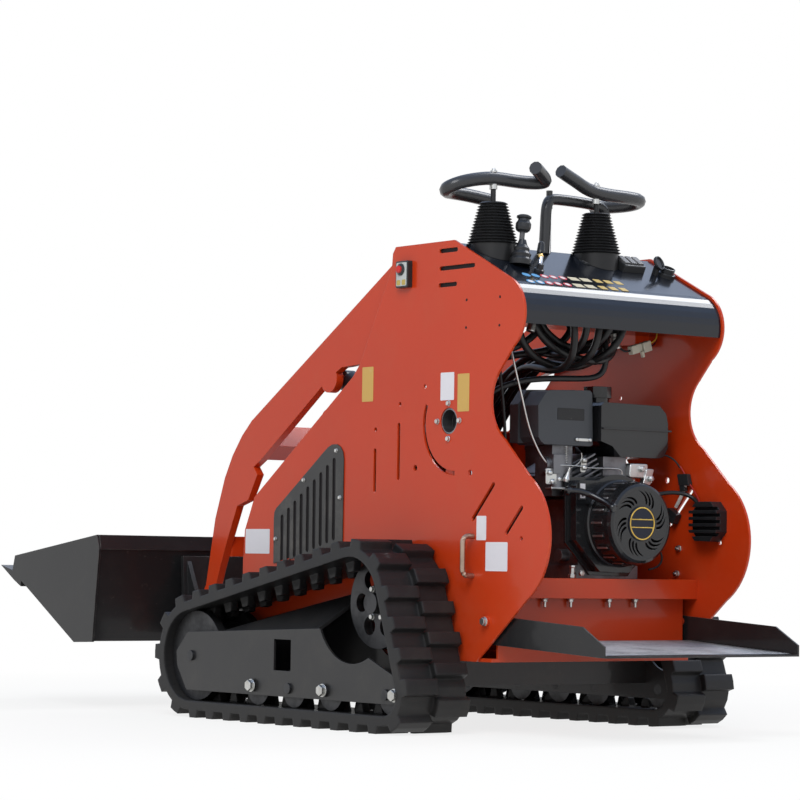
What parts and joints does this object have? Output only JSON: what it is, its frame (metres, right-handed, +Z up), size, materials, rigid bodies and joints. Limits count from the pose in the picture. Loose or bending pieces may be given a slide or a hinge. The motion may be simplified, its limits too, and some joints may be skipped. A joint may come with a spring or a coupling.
{
  "type": "mini skid steer loader",
  "caption": "Compact tracked skid steer loader with lift arms, bucket, open rear engine bay, drive handles and a stand-on platform.",
  "frame": {"origin": "on the ground under the middle of the overall box, bucket lip to platform edge", "axes": "+X is the machine's right side, +Y forward to the bucket, +Z up"},
  "size_m": [1.02, 2.153, 1.3128],
  "materials": {
    "orange_paint": "powder-coated orange-red sheet and plate",
    "black_paint": "satin black powder coat",
    "console_gloss": "glossy black painted console sheet",
    "bellows_rubber": "ribbed black rubber boots",
    "handle_foam": "black foam grip sleeves",
    "control_plastic": "black switch and box plastic",
    "bare_steel": "bare bent steel rod",
    "chrome_rod": "hard chromed cylinder rods",
    "engine_metal": "cast engine metal, dark",
    "engine_black": "black engine paint",
    "cleaner_plastic": "dark grey moulded plastic",
    "cast_wheels": "dark cast wheels and sprockets",
    "track_rubber": "black track rubber"
  },
  "bodies": {
    "chassis": {"side_plate_left": "orange_paint", "side_plate_right": "orange_paint", "floor_frame": "orange_paint", "front_cover": "orange_paint", "arm_towers": "orange_paint", "console_panel": "console_gloss", "control_bellows": "bellows_rubber", "drive_handles": "handle_foam", "grab_bar": "handle_foam", "levers_and_switches": "control_plastic", "grille_left": "black_paint", "grille_right": "black_paint", "stop_button_box": "control_plastic", "tie_down_rings": "bare_steel", "engine_block": "engine_metal", "fan_housing": "engine_black", "recoil_cover": "engine_black", "air_cleaner": "cleaner_plastic", "fuel_tank": "engine_black", "muffler": "engine_metal", "regulator": "black_paint", "hydraulic_pump": "engine_metal", "valve_block": "black_paint", "hydraulic_tank": "orange_paint", "undercarriage_frame": "black_paint", "track_frame_left": "black_paint", "track_frame_right": "black_paint", "sprocket_left": "cast_wheels", "sprocket_right": "cast_wheels", "track_wheels_left": "cast_wheels", "track_wheels_right": "cast_wheels", "track_left": "track_rubber", "track_right": "track_rubber"},
    "arms": {"lift_arm_left": "orange_paint", "lift_arm_right": "orange_paint", "arm_cross_members": "orange_paint"},
    "bucket": {"quick_attach": "black_paint", "bucket": "black_paint"},
    "platform": {"platform": "black_paint"},
    "lift_barrel_left": {"lift_barrel_left": "black_paint"},
    "lift_barrel_right": {"lift_barrel_right": "black_paint"},
    "lift_rod_left": {"lift_rod_left": "chrome_rod"},
    "lift_rod_right": {"lift_rod_right": "chrome_rod"},
    "tilt_barrel": {"tilt_barrel": "black_paint"},
    "tilt_rod": {"tilt_rod": "chrome_rod"}
  },
  "joints": [
    {"name": "arm_lift", "type": "hinge", "parent": "chassis", "child": "arms", "pos_m": [0, -0.4685, 0.985], "axis": [1, 0, 0], "range_deg": [-4, 60]},
    {"name": "bucket_tilt", "type": "hinge", "parent": "arms", "child": "bucket", "pos_m": [0, 0.4765, 0.205], "axis": [1, 0, 0], "range_deg": [-80, 5]},
    {"name": "platform_fold", "type": "hinge", "parent": "chassis", "child": "platform", "pos_m": [0, -0.6975, 0.251], "axis": [-1, 0, 0], "range_deg": [0, 36]},
    {"name": "lift_barrel_turn_left", "type": "hinge", "parent": "arms", "child": "lift_barrel_left", "pos_m": [-0.232, -0.0735, 0.812], "axis": [1, 0, 0], "range_deg": [-29.14, 2.22]},
    {"name": "lift_rod_slide_left", "type": "slide", "parent": "lift_barrel_left", "child": "lift_rod_left", "axis": [0, -0.8986, -0.4389], "range_m": [-0.0197, 0.2816]},
    {"name": "lift_barrel_turn_right", "type": "hinge", "parent": "arms", "child": "lift_barrel_right", "pos_m": [0.232, -0.0735, 0.812], "axis": [1, 0, 0], "range_deg": [-29.14, 2.22]},
    {"name": "lift_rod_slide_right", "type": "slide", "parent": "lift_barrel_right", "child": "lift_rod_right", "axis": [0, -0.8986, -0.4389], "range_m": [-0.0197, 0.2816]},
    {"name": "tilt_barrel_turn", "type": "hinge", "parent": "arms", "child": "tilt_barrel", "pos_m": [0, 0.2655, 0.735], "axis": [1, 0, 0], "range_deg": [-0.36, 1.28]},
    {"name": "tilt_rod_slide", "type": "slide", "parent": "tilt_barrel", "child": "tilt_rod", "axis": [0, 0.5586, -0.8295], "range_m": [-0.013, 0.1927]}
  ],
  "couplings": [
    {"joint": "lift_barrel_turn_left", "follows": "arm_lift", "ratio": -0.4807},
    {"joint": "lift_rod_slide_left", "follows": "arm_lift", "m_per_rad": 0.268},
    {"joint": "lift_barrel_turn_right", "follows": "arm_lift", "ratio": -0.4807},
    {"joint": "lift_rod_slide_right", "follows": "arm_lift", "m_per_rad": 0.268},
    {"joint": "tilt_barrel_turn", "follows": "bucket_tilt", "ratio": -0.0122},
    {"joint": "tilt_rod_slide", "follows": "bucket_tilt", "m_per_rad": -0.1373}
  ]
}
